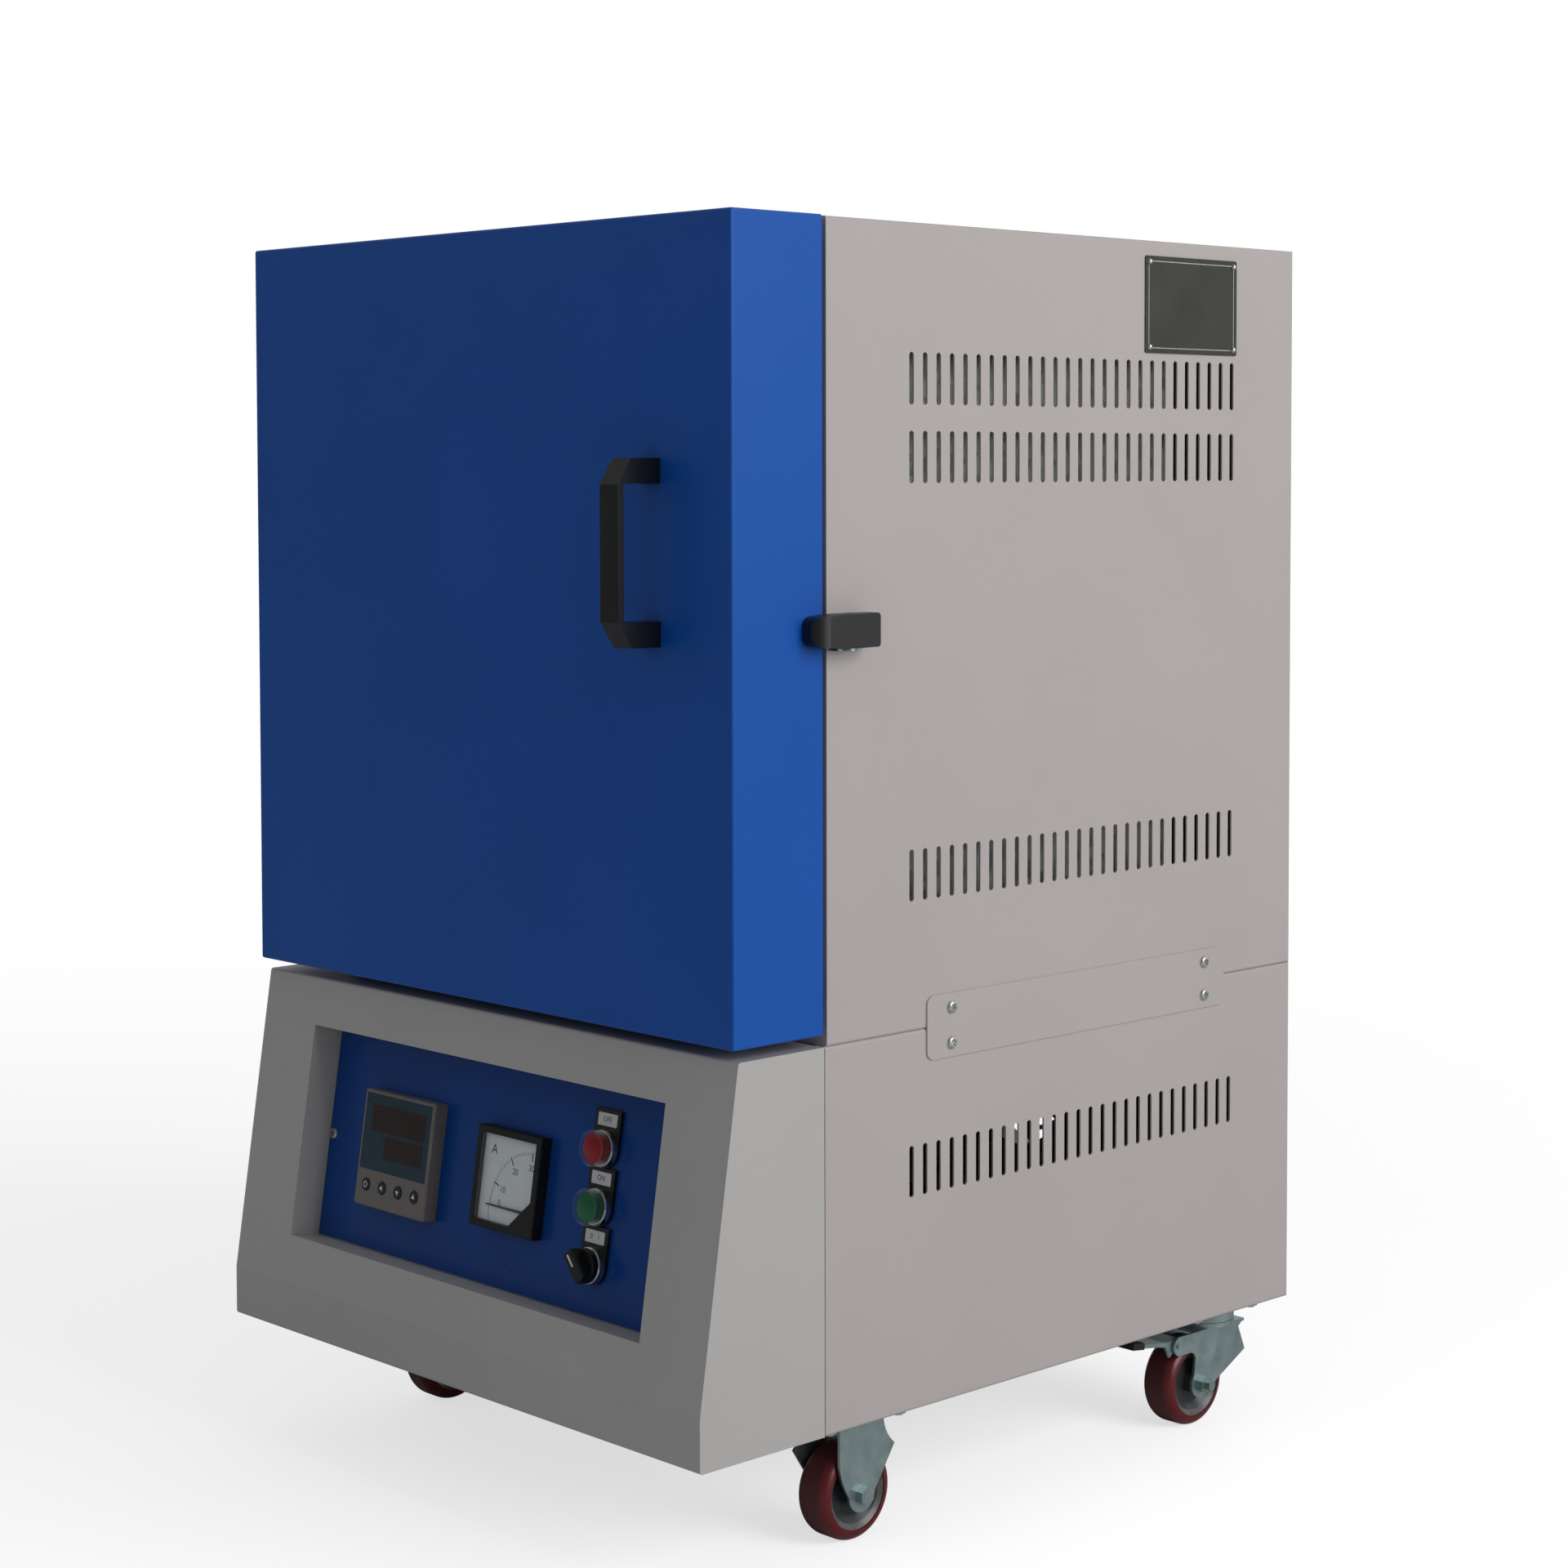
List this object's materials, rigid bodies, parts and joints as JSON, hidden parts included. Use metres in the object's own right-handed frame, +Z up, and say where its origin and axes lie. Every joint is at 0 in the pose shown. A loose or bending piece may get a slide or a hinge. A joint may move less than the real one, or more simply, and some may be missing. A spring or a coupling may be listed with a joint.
{
  "type": "muffle furnace",
  "caption": "Box muffle furnace on casters: insulated chamber with a side-hung plug door over a lower cabinet with a sloping control console.",
  "frame": {"origin": "on the floor, under the middle of the whole furnace's width and depth", "axes": "+X to the right as the user faces the door, +Y to the back, +Z up"},
  "size_m": [0.644, 0.7264, 1.0195],
  "materials": {
    "grey_paint": "fine orange-peel powder coat",
    "blue_paint": "fine orange-peel powder coat",
    "panel_paint": "satin",
    "zinc_sheet": "zinc plated",
    "fixing_steel": "bright",
    "casing_steel": "galvanised",
    "fibre_board": "matte ceramic fibre",
    "refractory": "fired",
    "element_rod": "sintered",
    "probe_ceramic": "fired",
    "black_plastic": "fine grain",
    "case_plastic": "satin",
    "window_plastic": "polished",
    "key_plastic": "satin",
    "legend_plastic": "satin",
    "collar_chrome": "bright",
    "red_plastic": "polished",
    "green_plastic": "polished",
    "handle_metal": "black powder coat",
    "plate_metal": "brushed",
    "wheel_tread": "cast polyurethane",
    "core_steel": "varnished laminations",
    "sink_aluminium": "extruded",
    "gland_plastic": "moulded"
  },
  "bodies": {
    "cabinet": {"upper_left_panel": "grey_paint", "upper_right_panel": "grey_paint", "top_cover": "grey_paint", "upper_rear_panel": "grey_paint", "front_frame": "grey_paint", "upper_base_pan": "casing_steel", "inner_casing": "casing_steel", "floor_board": "fibre_board", "roof_board": "fibre_board", "side_boards": "fibre_board", "back_board": "fibre_board", "hearth_plate": "refractory", "heating_elements": "element_rod", "thermocouple": "probe_ceramic", "lower_left_panel": "grey_paint", "lower_right_panel": "grey_paint", "lower_rear_panel": "grey_paint", "base_plate": "casing_steel", "console_fascia": "grey_paint", "control_panel": "panel_paint", "controller_case": "case_plastic", "controller_window": "window_plastic", "ammeter_case": "black_plastic", "legend_plates": "legend_plastic", "switch_collars": "collar_chrome", "joining_plates": "grey_paint", "cabinet_screws": "fixing_steel", "nameplate": "plate_metal", "transformer": "core_steel", "power_regulator": "sink_aluminium", "fan_frame": "black_plastic", "cable_gland": "gland_plastic", "hinge_frame_leaves": "grey_paint", "latch_bracket": "zinc_sheet", "front_caster_forks": "zinc_sheet", "rear_caster_plates": "zinc_sheet", "caster_bolts": "fixing_steel"},
    "door": {"door_shell": "blue_paint", "door_insulation": "fibre_board", "door_back_plate": "grey_paint", "door_handle": "handle_metal", "hinge_door_leaves": "grey_paint"},
    "latch": {"latch_lever": "black_plastic"},
    "stop_push": {"stop_button": "red_plastic"},
    "start_push": {"start_button": "green_plastic"},
    "selector": {"selector_knob": "black_plastic"},
    "needle": {"ammeter_needle": "black_plastic"},
    "set_key": {"key_set": "key_plastic"},
    "shift_key": {"key_shift": "key_plastic"},
    "down_key": {"key_down": "key_plastic"},
    "up_key": {"key_up": "key_plastic"},
    "fan": {"fan_rotor": "black_plastic"},
    "left_caster": {"rear_left_fork": "zinc_sheet"},
    "right_caster": {"rear_right_fork": "zinc_sheet"},
    "left_pedal": {"left_brake_pedal": "zinc_sheet"},
    "right_pedal": {"right_brake_pedal": "zinc_sheet"},
    "front_left_roller": {"front_left_wheel": "wheel_tread"},
    "front_right_roller": {"front_right_wheel": "wheel_tread"},
    "rear_left_roller": {"rear_left_wheel": "wheel_tread"},
    "rear_right_roller": {"rear_right_wheel": "wheel_tread"}
  },
  "joints": [
    {"name": "door_hinge", "type": "hinge", "parent": "cabinet", "child": "door", "pos_m": [-0.314, -0.22775, 0.714], "axis": [0, 0, -1], "range_deg": [0, 115]},
    {"name": "latch_rock", "type": "hinge", "parent": "cabinet", "child": "latch", "pos_m": [0.31, -0.21025, 0.7115], "axis": [0, 0, 1], "range_deg": [0, 12], "stiffness_Nm_per_rad": 0.6},
    {"name": "stop_press", "type": "slide", "parent": "cabinet", "child": "stop_push", "axis": [0, 0.9885, -0.1512], "range_m": [0, 0.0025], "stiffness_N_per_m": 600},
    {"name": "start_press", "type": "slide", "parent": "cabinet", "child": "start_push", "axis": [0, 0.9885, -0.1512], "range_m": [0, 0.0025], "stiffness_N_per_m": 600},
    {"name": "selector_turn", "type": "hinge", "parent": "cabinet", "child": "selector", "pos_m": [0.135, -0.33325, 0.22184], "axis": [0, 0.9885, -0.1512], "range_deg": [0, 90]},
    {"name": "needle_swing", "type": "hinge", "parent": "cabinet", "child": "needle", "pos_m": [0.054, -0.31457, 0.24478], "axis": [0, 0.9885, -0.1512], "range_deg": [0, 90], "stiffness_Nm_per_rad": 0.0005},
    {"name": "set_press", "type": "slide", "parent": "cabinet", "child": "set_key", "axis": [0, 0.9885, -0.1512], "range_m": [0, 0.0008], "stiffness_N_per_m": 400},
    {"name": "shift_press", "type": "slide", "parent": "cabinet", "child": "shift_key", "axis": [0, 0.9885, -0.1512], "range_m": [0, 0.0008], "stiffness_N_per_m": 400},
    {"name": "down_press", "type": "slide", "parent": "cabinet", "child": "down_key", "axis": [0, 0.9885, -0.1512], "range_m": [0, 0.0008], "stiffness_N_per_m": 400},
    {"name": "up_press", "type": "slide", "parent": "cabinet", "child": "up_key", "axis": [0, 0.9885, -0.1512], "range_m": [0, 0.0008], "stiffness_N_per_m": 400},
    {"name": "fan_spin", "type": "hinge", "parent": "cabinet", "child": "fan", "pos_m": [0, 0.34175, 0.251], "axis": [0, 1, 0], "continuous": true},
    {"name": "left_caster_swivel", "type": "hinge", "parent": "cabinet", "child": "left_caster", "pos_m": [-0.254, 0.28075, 0.084], "axis": [0, 0, 1], "continuous": true},
    {"name": "left_brake", "type": "hinge", "parent": "left_caster", "child": "left_pedal", "pos_m": [-0.254, 0.22275, 0.0766], "axis": [1, 0, 0], "range_deg": [0, 12]},
    {"name": "front_left_roll", "type": "hinge", "parent": "cabinet", "child": "front_left_roller", "pos_m": [-0.254, -0.16225, 0.0381], "axis": [1, 0, 0], "continuous": true},
    {"name": "rear_left_roll", "type": "hinge", "parent": "left_caster", "child": "rear_left_roller", "pos_m": [-0.254, 0.25275, 0.0381], "axis": [1, 0, 0], "continuous": true},
    {"name": "right_caster_swivel", "type": "hinge", "parent": "cabinet", "child": "right_caster", "pos_m": [0.254, 0.28075, 0.084], "axis": [0, 0, 1], "continuous": true},
    {"name": "right_brake", "type": "hinge", "parent": "right_caster", "child": "right_pedal", "pos_m": [0.254, 0.22275, 0.0766], "axis": [1, 0, 0], "range_deg": [0, 12]},
    {"name": "front_right_roll", "type": "hinge", "parent": "cabinet", "child": "front_right_roller", "pos_m": [0.254, -0.16225, 0.0381], "axis": [1, 0, 0], "continuous": true},
    {"name": "rear_right_roll", "type": "hinge", "parent": "right_caster", "child": "rear_right_roller", "pos_m": [0.254, 0.25275, 0.0381], "axis": [1, 0, 0], "continuous": true}
  ]
}
